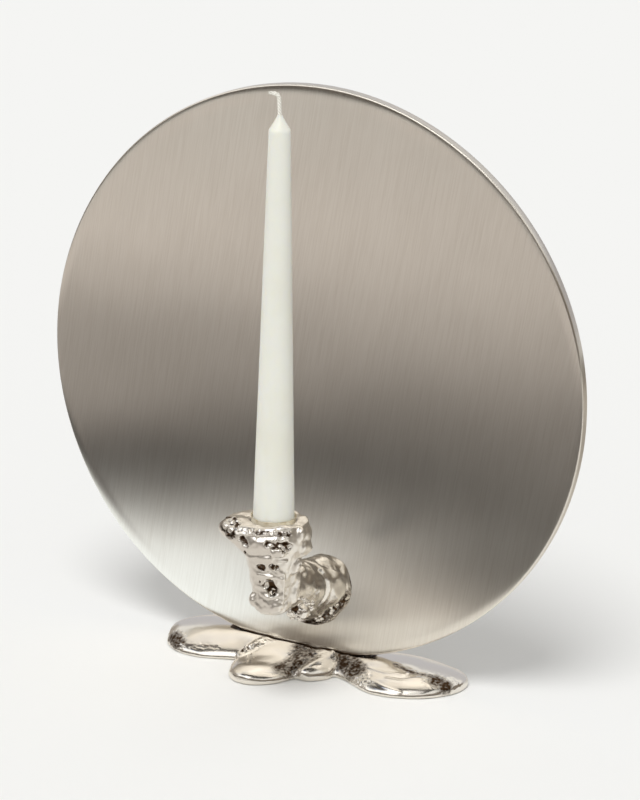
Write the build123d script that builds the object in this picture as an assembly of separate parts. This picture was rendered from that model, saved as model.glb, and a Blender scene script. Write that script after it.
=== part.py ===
from build123d import *
import math
import os

# Candle plate: an upright round reflector on a foot of cast petals,
# with a cast arm and cup that hold a taper candle in front of it.
# Millimetres, +Z up, front towards -Y. The origin is on the table, under the middle of the plate.

# Reflector plate
plate_radius = 160.0
plate_thickness = 6.5
plate_bottom = 5.0  # lowest point of the rim above the table
plate_roll_width = 10.0  # soft fall-off of the front face along its edge
plate_roll_drop = 0.5
plate_edge_round = 1.2
plate_back_chamfer = 0.6

# Foot of five petals
slot_clearance = 0.25  # room round the plate where it sinks into the petals
left_seam = -30.5  # upright joints between neighbouring petals, across the foot
left_seam_corner = 22.5  # in front of the plate the left joint leans in from here
left_seam_inner = -22.5  # to here, where it meets the plate
fold_seam = 9.0
right_seam = 26.5
rear_seam = 7.0  # upright joint behind the plate
petal_rim = 4.2  # thickness of a petal at its edge
rim_squareness = 14.0  # higher gives a petal a blunter edge
ridge_sharpness = 1.4  # higher makes a petal's ridge narrower
middle_flatness = 6.0  # higher keeps a section's height further out from its ridge
side_flatness = 2.0
section_steps = 6  # points on each quarter of a section
middle_overhang = 9.0  # how far a middle petal would run past its seams, which trim it

left_belly = 56.0  # where the petal is widest, and its tip, from the middle of the foot
left_tip = 82.0
left_neck_front = 21.0
left_neck_rear = 20.0
left_belly_front = 30.0
left_belly_rear = 29.0
left_sway = -4.0
left_neck_crown = 10.6  # height of the ridge at the seam and at the widest place
left_belly_crown = 10.9

right_belly = 56.0
right_tip = 97.0
right_neck_front = 17.0
right_neck_rear = 20.0
right_belly_front = 28.5
right_belly_rear = 27.0
right_sway = 4.0
right_neck_crown = 10.0
right_belly_crown = 10.5

front_spine = -10.0
front_belly = 20.0
front_tip = 50.5
front_half_width = 20.5
front_sway = -3.0
front_neck_crown = 10.4
front_belly_crown = 8.6
rib_radius = 3.4  # the thick rib along the front petal's left edge, from its curl to the plate
rib_start = (-27.6, -24.6, 3.0)
rib_middle = (-24.4, -15.0, 5.9)
rib_end = (-21.0, -4.0, 7.2)

fold_spine = 17.5
fold_belly = 16.0
fold_tip = 30.5
fold_half_width = 9.5
fold_sway = -4.0
fold_neck_crown = 10.4
fold_belly_crown = 9.4

rear_spine = -2.0
rear_belly = 17.0
rear_tip = 47.0
rear_half_width = 26.0
rear_sway = 6.0
rear_neck_crown = 10.4
rear_belly_crown = 8.8

round_tip = 1.0  # a tongue-shaped tip
leaf_tip = 1.6  # a tip drawn to a point

# Screws that hold the petals to the plate's rim, from below
foot_screw_radius = 2.0
foot_screw_head_radius = 3.9
foot_screw_key_radius = 1.2
foot_screw_spacing = 26.0
foot_screw_recess = 0.6
foot_screw_grip = 8.0
foot_screw_count = 4
thread_clearance = 0.1
hole_spare = 1.0  # a blind hole runs this much deeper than its screw

# Candle and its place
candle_side = 14.0  # the candle stands a little to the right of the middle
candle_reach = 67.0  # from the middle of the plate to the candle's axis
candle_foot_radius = 11.0
candle_top_radius = 5.7
candle_length = 245.0
candle_cone = 7.6
candle_cone_swell = 0.72  # how full the cone is, part way up
candle_cone_share = 0.45
candle_tip_radius = 1.9
candle_play = 0.3
candle_seat_gap = 0.2
wick_radius = 1.2
wick_play = 0.1
wick_start = 4.0  # the wick begins this far above the candle's foot
wick_rise = 4.5
wick_bend = 5.0
wick_bend_angle = 62.0
wick_end = 5.5
side_turn = 26.85  # the wick and the cup's long lip turn this far from -X towards the front

# Cup, sleeve and stud
cup_rise = 41.3  # from the arm's outer end up to the cup's rim, and down to its foot
cup_drop = 10.7
socket_depth = 29.8
sleeve_wall = 0.4
sleeve_lip = 2.2
sleeve_fit = 0.05
cup_lip_flare = 7.0
cup_front_bite = 4.0  # the rim is worn back towards the front
cup_profile = (  # even steps from foot to rim: wall outside the sleeve, shares of the flare and of the bite
    (-6.1, 0, 0),
    (-1.1, 0, 0),
    (-0.5, 0, 0),
    (0.7, 0, 0),
    (1.9, 0, 0),
    (3.6, 0, 0),
    (6.4, 0.35, 0),
    (7.5, 1.15, 0.2),
    (6.8, 0.28, 0.9),
)
ring_points = 12
ring_waves = 5
ring_wave = 0.09  # for each millimetre of wall, and never under the least wave
least_wave = 0.3
cup_knuckle_radius = 12.0
cup_ledge_radius = 5.5  # a round ledge under the rim, on the arm's side
cup_ledge_turn = 15.0
cup_ledge_inset = 2.0
cup_ledge_drop = 14.0
cup_bud_radius = 4.2  # a bud low on the other side
cup_bud_inset = 3.5
cup_bud_height = 7.0
pit_radius = 2.7
pit_depth = 1.1
cup_pit_spots = (  # turn round the candle's axis, share of the cup's height, wall outside the sleeve there
    (-107, 0.8, 9.4),
    (-91, 0.56, 2.4),
    (-57, 0.56, 2.4),
    (-66, 0.33, -0.5),
    (-46, 0.83, 8.4),
)
stud_radius = 3.0
stud_length = 20.0

# Arm
boss_side = 9.8
boss_height = 44.5
boss_long_radius = 23.5
boss_short_radius = 17.5
boss_turn = 50.0  # lean of the boss's long way
arm_end_height = 65.0
arm_end_radius = 11.8
arm_swell = 1.5  # higher draws the arm thin sooner
seam_setback = 8.5  # from the candle's axis back to the joint between cup and arm
arm_sections = 8
growth_ridge_count = 3
growth_ridge_start = 0.0
growth_ridge_pitch = 3.6
growth_ridge_width = 2.2
growth_ridge_height = 0.9
nodule_radius = 5.5
nodule_side = 6.0  # its place from the arm's outer end: to the right, back and down
nodule_back = 12.5
nodule_drop = 14.0
arm_screw_radius = 2.5
arm_screw_grip = 11.0
arm_screw_spacing = 18.0
arm_screw_head_radius = 4.6
arm_screw_head_height = 2.8
arm_screw_key_radius = 1.7
arm_screw_key_depth = 1.6
arm_screw_play = 0.25
washer_radius = 6.0
washer_thickness = 1.2

# Values worked out from the sizes above
plate_middle = plate_bottom + plate_radius
plate_face = plate_thickness / 2
sleeve_inner = candle_foot_radius + candle_play
sleeve_outer = sleeve_inner + sleeve_wall
cup_rim = arm_end_height + cup_rise
cup_foot = arm_end_height - cup_drop
socket_floor = cup_rim - socket_depth
candle_foot = socket_floor + candle_seat_gap
candle_top = candle_foot + candle_length
candle_axis = Pos(candle_side, -candle_reach, 0)
arm_seam = candle_reach - seam_setback
arm_run = arm_seam - plate_face
arm_lean = math.degrees(math.atan2(arm_end_height - boss_height, arm_run))
seam_plane = Plane(Location((candle_side, -arm_seam, arm_end_height), (90 - arm_lean, 0, 0)))
foot_screw_spots = [(i - (foot_screw_count - 1) / 2) * foot_screw_spacing for i in range(foot_screw_count)]
arm_screw_spots = [boss_height - arm_screw_spacing / 2, boss_height + arm_screw_spacing / 2]
far = 4 * plate_radius  # longer than anything here
standing = (Align.CENTER, Align.CENTER, Align.MIN)


def rim_height(x):
    # height of the plate's lower rim at a distance from its middle
    return plate_middle - math.sqrt(plate_radius**2 - x**2)


def upright(radius, low, high):
    return Pos(0, 0, low) * Cylinder(radius, high - low, align=standing)


def from_behind(x, z, body):
    # turns an upright body so that it points forward from the plate's middle
    return Pos(x, 0, z) * Rot(90, 0, 0) * body


def half_space(plane):
    # everything on the side that the plane's normal points to
    return plane * Box(far, far, far, align=standing)


# Reflector plate: a turned disc with a soft front edge
def plate_profile():
    flat = plate_radius - plate_roll_width
    edge = plate_radius - plate_edge_round
    shoulder = plate_face - plate_roll_drop
    corner = math.sqrt(0.5) * plate_edge_round
    face = Polyline((0, -plate_face), (0, plate_face), (flat, plate_face))
    roll = TangentArc((flat, plate_face), (edge, shoulder), tangent=(1, 0))
    turn = ThreePointArc(
        (edge, shoulder),
        (edge + corner, shoulder - plate_edge_round + corner),
        (plate_radius, shoulder - plate_edge_round),
    )
    back = Polyline(
        (plate_radius, shoulder - plate_edge_round),
        (plate_radius, -plate_face + plate_back_chamfer),
        (plate_radius - plate_back_chamfer, -plate_face),
        (0, -plate_face),
    )
    return make_face(face + roll + turn + back)


def reflector_plate():
    disc = Pos(0, 0, plate_middle) * Rot(180, 0, 0) * revolve(plate_profile(), Axis.Y)
    for x in foot_screw_spots:
        top = rim_height(x) + foot_screw_grip + hole_spare
        disc -= Pos(x, 0, 0) * upright(foot_screw_radius + thread_clearance, 0, top)
    for z in arm_screw_spots:
        passage = upright(arm_screw_radius + arm_screw_play, -plate_thickness, plate_thickness)
        disc -= from_behind(boss_side, z, passage)
    return disc


# Petals: crowned cross-sections along a spine, with a rolled rim, cut flat underneath
def petal_section(place, low, high, spine, crown, flatness):
    # low and high are the edges; a flatter section keeps its height further out
    points = []
    for step in range(4 * section_steps):
        turn = math.pi / 2 * step / section_steps
        across = math.cos(turn)
        edge = math.sqrt(max(0.0, 1 - abs(across) ** rim_squareness))
        ridge = (1 - abs(across) ** flatness) ** ridge_sharpness
        reach = (high - spine) * across if across > 0 else (spine - low) * across
        height = petal_rim * edge + (crown - petal_rim) * ridge
        points.append((spine + reach, height if turn <= math.pi else -petal_rim * edge))
    return place * make_face(Spline(points, periodic=True))


def petal(place_at, stations, neck, widest, crowns, flats, sway, sharpness):
    # stations: seam, widest place and tip; neck and widest: the two edges' distances from the spine
    seam, belly, tip = stations
    sections = []
    for share in (0, 0.25, 0.5, 0.75):
        blend = share * share * (3 - 2 * share)
        low = neck[0] + (widest[0] - neck[0]) * blend
        high = neck[1] + (widest[1] - neck[1]) * blend
        crown = crowns[0] + (crowns[1] - crowns[0]) * blend
        flatness = flats[0] + (flats[1] - flats[0]) * blend
        place = place_at(seam + (belly - seam) * share)
        sections.append(petal_section(place, -low, high, 0, crown, flatness))
    for angle in (0, 15, 30, 45, 60, 75, 85):
        along = math.sin(math.radians(angle))
        width = math.cos(math.radians(angle)) ** sharpness
        drift = sway * along**2
        crown = petal_rim + (crowns[1] - petal_rim) * math.cos(math.radians(angle))
        place = place_at(belly + (tip - belly) * along)
        low = drift - widest[0] * width
        high = drift + widest[1] * width
        sections.append(petal_section(place, low, high, drift, crown, flats[1]))
    return loft(sections) & half_space(Plane.XY)


def plate_slot():
    disc = Cylinder(plate_radius + slot_clearance, plate_thickness + 2 * slot_clearance)
    return Pos(0, 0, plate_middle) * Rot(90, 0, 0) * disc


def screw_passage(x):
    # clearance for the shank and a countersunk seat for the head
    neck = foot_screw_head_radius - foot_screw_radius
    bore = foot_screw_radius + thread_clearance
    mouth = foot_screw_head_radius + thread_clearance
    body = upright(bore, 0, rim_height(x) + hole_spare) + upright(mouth, -hole_spare, foot_screw_recess)
    body += Pos(0, 0, foot_screw_recess) * Cone(mouth, bore, neck, align=standing)
    return Pos(x, 0, 0) * body


def seated(body):
    # the petal with its share of the plate's slot and of the screw holes
    body -= plate_slot()
    for x in foot_screw_spots:
        body -= screw_passage(x)
    return body


def side_of(x, facing):
    # everything to the right of x, or with facing -1 to its left
    return half_space(Plane(origin=(x, 0, 0), x_dir=(0, 1, 0), z_dir=(facing, 0, 0)))


def left_side():
    # the left petal's side of its joint, which leans in towards the plate at the front
    lean = Vector(left_seam_corner - plate_face, left_seam - left_seam_inner).normalized()
    leaning = Plane(origin=(left_seam, -left_seam_corner, 0), x_dir=(0, 0, 1), z_dir=(-lean.X, -lean.Y, 0))
    return side_of(left_seam, -1) + (half_space(leaning) & half_space(Plane.XZ.offset(plate_face)))


def between(body, low, high):
    return body & side_of(low, 1) & side_of(high, -1)


def left_petal():
    body = petal(
        lambda d: Plane.YZ.offset(-d),
        (-left_seam_inner, left_belly, left_tip),
        (left_neck_front, left_neck_rear),
        (left_belly_front, left_belly_rear),
        (left_neck_crown, left_belly_crown),
        (side_flatness, side_flatness),
        left_sway,
        round_tip,
    )
    return seated(body & left_side())


def right_petal():
    body = petal(
        lambda d: Plane.YZ.offset(d),
        (right_seam, right_belly, right_tip),
        (right_neck_front, right_neck_rear),
        (right_belly_front, right_belly_rear),
        (right_neck_crown, right_belly_crown),
        (side_flatness, side_flatness),
        right_sway,
        round_tip,
    )
    return seated(body)


def middle_petal(side, spine, stations, half_width, crowns, sway, sharpness, seams):
    # a petal that runs forwards or backwards under the plate and is trimmed at its seams
    neck = (spine - seams[0] + middle_overhang, seams[1] - spine + middle_overhang)
    body = petal(
        lambda d: Plane.XZ.offset(side * d) * Pos(spine, 0),
        stations,
        neck,
        (half_width, half_width),
        crowns,
        (middle_flatness, side_flatness),
        sway,
        sharpness,
    )
    return between(body, *seams)


def edge_rib():
    path = ThreePointArc(rib_start, rib_middle, rib_end)
    rib = sweep(Plane(origin=path @ 0, z_dir=path % 0) * Circle(rib_radius), path=path)
    rib += Pos(*rib_start) * Sphere(rib_radius)
    return rib & half_space(Plane.XY)


def front_petal():
    stations = (-rear_seam, front_belly, front_tip)
    crowns = (front_neck_crown, front_belly_crown)
    seams = (left_seam, fold_seam)
    body = middle_petal(1, front_spine, stations, front_half_width, crowns, front_sway, round_tip, seams)
    return seated(body + edge_rib() - left_side())


def fold_petal():
    stations = (-rear_seam, fold_belly, fold_tip)
    crowns = (fold_neck_crown, fold_belly_crown)
    seams = (fold_seam, right_seam)
    body = middle_petal(1, fold_spine, stations, fold_half_width, crowns, fold_sway, round_tip, seams)
    return seated(body)


def rear_petal():
    stations = (rear_seam, rear_belly, rear_tip)
    crowns = (rear_neck_crown, rear_belly_crown)
    seams = (left_seam, right_seam)
    return middle_petal(-1, rear_spine, stations, rear_half_width, crowns, rear_sway, leaf_tip, seams)


def foot_screws():
    neck = foot_screw_head_radius - foot_screw_radius
    head = Cone(foot_screw_head_radius, foot_screw_radius, neck, align=standing)
    key = extrude(RegularPolygon(foot_screw_key_radius, 6), neck / 2)
    screws = []
    for x in foot_screw_spots:
        shank = upright(foot_screw_radius, 0, rim_height(x) + foot_screw_grip - foot_screw_recess)
        screws.append(Pos(x, 0, foot_screw_recess) * (head + shank - key))
    return Compound(screws)


# Cup: uneven rings stacked up the candle's axis, lumps as cast, a bored socket and dents
def round_the_cup(turn, reach, height):
    return Rot(0, 0, turn) * Pos(reach, 0, height)


def uneven_ring(height, radius, flare, bite, wave):
    points = []
    for i in range(ring_points):
        turn = 2 * math.pi * i / ring_points
        left = max(0.0, math.cos(turn - math.radians(180 + side_turn)))
        front = max(0.0, math.cos(turn - math.radians(side_turn - 90)))
        reach = radius + flare * left**2 - bite * front**2 + wave * math.sin(ring_waves * turn + height)
        points.append((reach * math.cos(turn), reach * math.sin(turn)))
    return Pos(0, 0, height) * make_face(Spline(points, periodic=True))


def cup_rings():
    rings = []
    for i, (wall, flare, bite) in enumerate(cup_profile):
        height = cup_foot + i / (len(cup_profile) - 1) * (cup_rim - cup_foot)
        wave = max(least_wave, ring_wave * wall)
        flare *= cup_lip_flare
        bite *= cup_front_bite
        rings.append(uneven_ring(height, sleeve_outer + wall, flare, bite, wave))
    return rings


def cup_pits():
    pits = []
    for turn, share, wall in cup_pit_spots:
        reach = sleeve_outer + wall + pit_radius - pit_depth
        height = cup_foot + share * (cup_rim - cup_foot)
        pits.append(round_the_cup(turn, reach, height) * Sphere(pit_radius))
    return pits


def candle_cup():
    body = loft(cup_rings())
    ledge = sleeve_outer + cup_ledge_radius - cup_ledge_inset
    body += round_the_cup(cup_ledge_turn, ledge, cup_rim - cup_ledge_drop) * Sphere(cup_ledge_radius)
    bud = sleeve_outer - cup_bud_inset
    body += round_the_cup(180 + side_turn, bud, cup_foot + cup_bud_height) * Sphere(cup_bud_radius)
    body = candle_axis * body
    body += seam_plane * Pos(0, 0, cup_knuckle_radius / 4) * Sphere(cup_knuckle_radius)
    body &= half_space(seam_plane) + half_space(Plane.XY.offset(socket_floor))
    body -= candle_axis * upright(sleeve_outer + sleeve_fit, socket_floor, cup_rim + far)
    for pit in cup_pits():
        body -= candle_axis * pit
    return body - stud_hole()


def socket_sleeve():
    tube = upright(sleeve_outer, socket_floor, cup_rim + sleeve_lip)
    return candle_axis * (tube - upright(sleeve_inner, socket_floor - 1, cup_rim + far))


def stud_hole():
    return seam_plane * Cylinder(stud_radius + thread_clearance, stud_length + 2 * hole_spare)


def cup_stud():
    return seam_plane * Cylinder(stud_radius, stud_length)


# Arm: a trumpet from a broad boss on the plate up to the cup, with growth ridges low on its right
def arm_section(depth, ridge):
    # depth is the distance out from the plate's face
    share = depth / arm_run
    swell = max(0.0, 1 - share) ** arm_swell
    long_radius = arm_end_radius + (boss_long_radius - arm_end_radius) * swell
    short_radius = arm_end_radius + (boss_short_radius - arm_end_radius) * swell
    side = boss_side + (candle_side - boss_side) * share + ridge
    height = boss_height + (arm_end_height - boss_height) * share - ridge
    place = Plane.XZ.offset(plate_face + depth) * Pos(side, height)
    return place * Ellipse(long_radius, short_radius, rotation=boss_turn)


def growth_ridge(i):
    # a thin slice of the boss, pushed down and to the right
    slice_face = arm_section(growth_ridge_start + i * growth_ridge_pitch, growth_ridge_height)
    ridge = extrude(slice_face, growth_ridge_width)
    return chamfer(ridge.edges(), growth_ridge_width / 3)


def arm_branch():
    length = arm_run + seam_setback
    body = loft([arm_section(i / arm_sections * length, 0) for i in range(arm_sections + 1)])
    for i in range(growth_ridge_count):
        body += growth_ridge(i)
    body -= half_space(seam_plane)
    nodule = Pos(candle_side + nodule_side, nodule_back - arm_seam, arm_end_height - nodule_drop)
    body += nodule * Sphere(nodule_radius)
    for z in arm_screw_spots:
        hole = upright(arm_screw_radius + thread_clearance, 0, plate_face + arm_screw_grip + hole_spare)
        body -= from_behind(boss_side, z, hole)
    return body - stud_hole()


def arm_screws():
    back = plate_face + washer_thickness
    shank = upright(arm_screw_radius, -back, plate_face + arm_screw_grip)
    head = upright(arm_screw_head_radius, -back - arm_screw_head_height, -back)
    head = chamfer(head.edges().group_by(Axis.Z)[0], arm_screw_head_height / 3)
    key = extrude(RegularPolygon(arm_screw_key_radius, 6), arm_screw_key_depth)
    screw = head + shank - Pos(0, 0, -back - arm_screw_head_height) * key
    return Compound([from_behind(boss_side, z, screw) for z in arm_screw_spots])


def arm_washers():
    low = -plate_face - washer_thickness
    ring = upright(washer_radius, low, -plate_face)
    ring -= upright(arm_screw_radius + arm_screw_play, low, -plate_face)
    return Compound([from_behind(boss_side, z, ring) for z in arm_screw_spots])


# Candle: a turned taper with its wick running up the middle
def candle_wax():
    shoulder = candle_top - candle_cone
    side = Polyline(
        (0, candle_foot),
        (candle_foot_radius, candle_foot),
        (candle_foot_radius, cup_rim + sleeve_lip),
        (candle_top_radius, shoulder),
    )
    cone = Spline(
        (candle_top_radius, shoulder),
        (candle_top_radius * candle_cone_swell, shoulder + candle_cone * candle_cone_share),
        (candle_tip_radius, candle_top),
    )
    close = Polyline((candle_tip_radius, candle_top), (0, candle_top), (0, candle_foot))
    wax = revolve(Plane.XZ * make_face(side + cone + close), Axis.Z)
    return candle_axis * (wax - upright(wick_radius + wick_play, candle_foot + wick_start, candle_top + 1))


def candle_wick():
    low = candle_foot + wick_start
    knee = candle_top + wick_rise
    rise = Line((0, low), (0, knee))
    bend = JernArc((0, knee), (0, 1), wick_bend, wick_bend_angle)
    tail = Line(bend @ 1, bend @ 1 + (bend % 1) * wick_end)
    strand = sweep(Pos(0, 0, low) * Circle(wick_radius), path=Plane.XZ * (rise + bend + tail))
    return candle_axis * Rot(0, 0, side_turn) * strand


def main():
    os.makedirs("parts", exist_ok=True)
    makers = (
        reflector_plate,
        left_petal,
        front_petal,
        fold_petal,
        right_petal,
        rear_petal,
        foot_screws,
        arm_branch,
        arm_screws,
        arm_washers,
        candle_cup,
        cup_stud,
        socket_sleeve,
        candle_wax,
        candle_wick,
    )
    for make in makers:
        export_step(make(), f"parts/{make.__name__}.step")


main()
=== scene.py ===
import math
import random
import bmesh
import bpy
import numpy as np
from mathutils import Euler, Matrix, Vector, noise


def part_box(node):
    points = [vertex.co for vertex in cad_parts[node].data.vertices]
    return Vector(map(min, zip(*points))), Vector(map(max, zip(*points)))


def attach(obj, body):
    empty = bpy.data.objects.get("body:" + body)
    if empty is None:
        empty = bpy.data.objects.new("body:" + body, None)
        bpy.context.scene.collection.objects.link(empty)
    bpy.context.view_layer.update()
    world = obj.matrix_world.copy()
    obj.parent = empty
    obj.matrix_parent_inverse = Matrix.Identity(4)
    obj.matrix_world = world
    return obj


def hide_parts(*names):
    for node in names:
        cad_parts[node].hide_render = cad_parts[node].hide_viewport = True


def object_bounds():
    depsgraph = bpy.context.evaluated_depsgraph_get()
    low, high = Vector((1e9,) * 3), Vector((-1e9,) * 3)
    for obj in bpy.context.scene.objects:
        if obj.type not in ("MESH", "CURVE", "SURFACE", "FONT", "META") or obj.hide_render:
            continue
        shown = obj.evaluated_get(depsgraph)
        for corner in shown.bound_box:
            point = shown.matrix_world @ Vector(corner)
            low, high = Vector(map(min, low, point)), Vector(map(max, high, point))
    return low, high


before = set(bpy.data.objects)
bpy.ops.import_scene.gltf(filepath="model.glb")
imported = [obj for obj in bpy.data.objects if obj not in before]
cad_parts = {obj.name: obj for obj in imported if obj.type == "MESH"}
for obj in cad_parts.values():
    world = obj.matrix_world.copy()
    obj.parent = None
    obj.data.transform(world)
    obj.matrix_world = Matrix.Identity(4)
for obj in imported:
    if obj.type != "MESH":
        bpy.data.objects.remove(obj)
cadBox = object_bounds()
scene = bpy.context.scene
mm = 0.001


def linear(hexCode):  # sRGB hex to the linear colour that sockets take
    parts = [int(hexCode[i:i + 2], 16) / 255 for i in (1, 3, 5)]
    return tuple(p / 12.92 if p <= 0.04045 else ((p + 0.055) / 1.055) ** 2.4 for p in parts) + (1.0,)


def addNode(tree, kind, values=None, links=None, stops=None, **settings):
    node = tree.nodes.new(kind)
    for name, value in settings.items():
        setattr(node, name, value)
    for socket, value in (values or {}).items():
        node.inputs[socket].default_value = value
    for socket, source in (links or {}).items():
        tree.links.new(source, node.inputs[socket])
    if stops:  # a ramp's places and colours
        ramp = node.color_ramp.elements
        while len(ramp) < len(stops):
            ramp.new(1.0)
        for element, (place, hexCode) in zip(ramp, stops):
            element.position = place
            element.color = linear(hexCode)
    return node


def blankMaterial(name):
    material = bpy.data.materials.new(name)
    material.use_nodes = True
    material.node_tree.nodes.clear()
    return material, material.node_tree


def addSurface(tree, values, links=None):  # the main shader and its way out
    shader = addNode(tree, "ShaderNodeBsdfPrincipled", values, links)
    addNode(tree, "ShaderNodeOutputMaterial", links={"Surface": shader.outputs["BSDF"]})


# camera, as the photograph was taken
photoCamera = {
    "place": (0.64805, -1.28352, 0.60196),
    "turn": (72.598, -1.130, 26.918),
    "lens": 124.76,  # mm, for a sensor this wide
    "sensor": 36.0,
    "farthest": 50.0,  # m
}
cameraData = bpy.data.cameras.new("photoCamera")
cameraData.lens = photoCamera["lens"]
cameraData.sensor_width = photoCamera["sensor"]
cameraData.clip_end = photoCamera["farthest"]
camera = bpy.data.objects.new("photoCamera", cameraData)
camera.location = photoCamera["place"]
camera.rotation_euler = [math.radians(a) for a in photoCamera["turn"]]
scene.collection.objects.link(camera)
scene.camera = camera
print("camera placed")

# materials
satinNickelLook = {
    "metal": "#ece6db",
    "worn": "#e4ddd1",
    "strokeWidth": 0.8,  # mm; real strokes are near 0.1, too fine to show
    "strokeLength": 26.0,
    "strokeDepth": 0.002,
    "strokeLean": 9.0,  # degrees to the right
    "cloud": 34.0,  # mm, patches that were rubbed longer
    "roughLow": 0.278,
    "roughHigh": 0.33,
    "stretch": 0.86,  # how much the strokes draw reflections out sideways
}


def satinNickel(look):
    # nickel sheet rubbed up and down with abrasive cloth: soft reflections drawn out sideways, fine upright strokes
    material, tree = blankMaterial("satinNickelSheet")
    where = addNode(tree, "ShaderNodeTexCoord").outputs["Object"]
    wide, long = look["strokeWidth"] * mm, look["strokeLength"] * mm
    lean = (0, math.radians(look["strokeLean"]), 0)
    drawn = addNode(tree, "ShaderNodeMapping", {"Scale": (wide, wide, long), "Rotation": lean}, {"Vector": where},
                    vector_type="TEXTURE")
    strokes = addNode(tree, "ShaderNodeTexNoise", {"Scale": 1.0, "Detail": 3.0, "Roughness": 0.65},
                      {"Vector": drawn.outputs["Vector"]})
    clouds = addNode(tree, "ShaderNodeTexNoise", {"Scale": 1 / (look["cloud"] * mm), "Detail": 2.0}, {"Vector": where})
    tint = addNode(tree, "ShaderNodeValToRGB", links={"Fac": strokes.outputs["Fac"]},
                   stops=[(0.3, look["worn"]), (0.62, look["metal"])])
    rough = addNode(tree, "ShaderNodeMapRange", {"To Min": look["roughLow"], "To Max": look["roughHigh"]},
                    {"Value": clouds.outputs["Fac"]})
    relief = addNode(tree, "ShaderNodeBump", {"Strength": 1.0, "Distance": look["strokeDepth"] * mm},
                     {"Height": strokes.outputs["Fac"]})
    sideways = addNode(tree, "ShaderNodeTangent", direction_type="RADIAL", axis="Z")
    addSurface(tree, {"Metallic": 1.0, "Anisotropic": look["stretch"]}, {
        "Base Color": tint.outputs["Color"], "Roughness": rough.outputs["Result"],
        "Normal": relief.outputs["Normal"], "Tangent": sideways.outputs["Tangent"]})
    return material


castNickelLook = {
    "metal": "#efe9df",
    "patinaAndShade": "#473524",  # brown where the plating never took; also painted shade in the plate's slot, pits and creases, and one painted reflection
    "grain": 1.1,  # mm
    "grainDepth": 0.012,
    "buffed": (0.19, 0.36),  # how rough on the swells and in the dark marks
    "rubbed": (0.25, 0.2),
    "tumbled": (0.34, 0.14),
}


def castNickel(name, look, rough):
    # lost-wax casting, nickel plated: bright on the swells, dark brown where the plating never took, the same brown
    # also painted shade in the plate's slot, pits and creases
    material, tree = blankMaterial(name)
    where = addNode(tree, "ShaderNodeTexCoord").outputs["Object"]
    deep = addNode(tree, "ShaderNodeAttribute", attribute_name="patinaAndShade")
    grain = addNode(tree, "ShaderNodeTexNoise", {"Scale": 1 / (look["grain"] * mm), "Detail": 4.0, "Roughness": 0.55},
                    {"Vector": where})
    relief = addNode(tree, "ShaderNodeBump", {"Strength": 1.0, "Distance": look["grainDepth"] * mm},
                     {"Height": grain.outputs["Fac"]})
    tint = addNode(tree, "ShaderNodeValToRGB", links={"Fac": deep.outputs["Fac"]},
                   stops=[(0.15, look["metal"]), (0.9, look["patinaAndShade"])])
    dull = addNode(tree, "ShaderNodeMapRange", {"To Min": rough[0], "To Max": rough[1]}, {"Value": deep.outputs["Fac"]})
    addSurface(tree, {"Metallic": 1.0}, {
        "Base Color": tint.outputs["Color"], "Roughness": dull.outputs["Result"], "Normal": relief.outputs["Normal"]})
    return material


dippedWaxLook = {
    "wax": "#eaeae1",
    "edge": "#e7e6da",
    "cloud": 30.0,  # mm
    "cloudDepth": 0.2,
    "rough": 0.42,
    "ior": 1.44,
    "soak": 4.0,  # mm that light goes in
    "soakTint": (1.0, 0.9, 0.6),
    "milk": 0.5,
}


def dippedWax(look):
    # candle wax drawn up in dips: milky, with light soaking a few millimetres in
    material, tree = blankMaterial("dippedCandleWax")
    where = addNode(tree, "ShaderNodeTexCoord").outputs["Object"]
    clouds = addNode(tree, "ShaderNodeTexNoise", {"Scale": 1 / (look["cloud"] * mm), "Detail": 3.0}, {"Vector": where})
    tint = addNode(tree, "ShaderNodeValToRGB", links={"Fac": clouds.outputs["Fac"]},
                   stops=[(0.3, look["edge"]), (0.55, look["wax"])])
    relief = addNode(tree, "ShaderNodeBump", {"Strength": 0.3, "Distance": look["cloudDepth"] * mm},
                     {"Height": clouds.outputs["Fac"]})
    addSurface(tree, {"Roughness": look["rough"], "IOR": look["ior"], "Subsurface Weight": look["milk"],
                      "Subsurface Radius": look["soakTint"], "Subsurface Scale": look["soak"] * mm},
               {"Base Color": tint.outputs["Color"], "Normal": relief.outputs["Normal"]})
    return material


cottonLook = {"cotton": "#f4f2ea", "shade": "#dcd8c8", "fibre": 0.35, "fibreDepth": 0.1, "rough": 0.7}  # mm


def waxedCotton(look):
    # braided cotton stiff with wax: white, with a soft sheen and fine threads
    material, tree = blankMaterial("waxedCottonBraid")
    where = addNode(tree, "ShaderNodeTexCoord").outputs["Object"]
    fibres = addNode(tree, "ShaderNodeTexNoise", {"Scale": 1 / (look["fibre"] * mm), "Detail": 3.0}, {"Vector": where})
    tint = addNode(tree, "ShaderNodeValToRGB", links={"Fac": fibres.outputs["Fac"]},
                   stops=[(0.3, look["shade"]), (0.6, look["cotton"])])
    relief = addNode(tree, "ShaderNodeBump", {"Strength": 0.6, "Distance": look["fibreDepth"] * mm},
                     {"Height": fibres.outputs["Fac"]})
    addSurface(tree, {"Roughness": look["rough"]},
               {"Base Color": tint.outputs["Color"], "Normal": relief.outputs["Normal"]})
    return material


brassLook = {"brass": "#efe7d2", "tarnish": "#d9ccad", "patch": 3.0, "rough": 0.5}  # patch in mm


def dullBrass(look):
    # thin drawn brass tube gone dull: tan, with darker patches and a soft shine
    material, tree = blankMaterial("drawnBrassTube")
    where = addNode(tree, "ShaderNodeTexCoord").outputs["Object"]
    patches = addNode(tree, "ShaderNodeTexNoise", {"Scale": 1 / (look["patch"] * mm), "Detail": 4.0}, {"Vector": where})
    tint = addNode(tree, "ShaderNodeValToRGB", links={"Fac": patches.outputs["Fac"]},
                   stops=[(0.35, look["tarnish"]), (0.6, look["brass"])])
    addSurface(tree, {"Metallic": 1.0, "Roughness": look["rough"]}, {"Base Color": tint.outputs["Color"]})
    return material


steelLook = {"steel": "#b9b9ba", "lathe": 0.5, "depth": 0.01, "rough": 0.28}  # tool marks in mm


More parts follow.
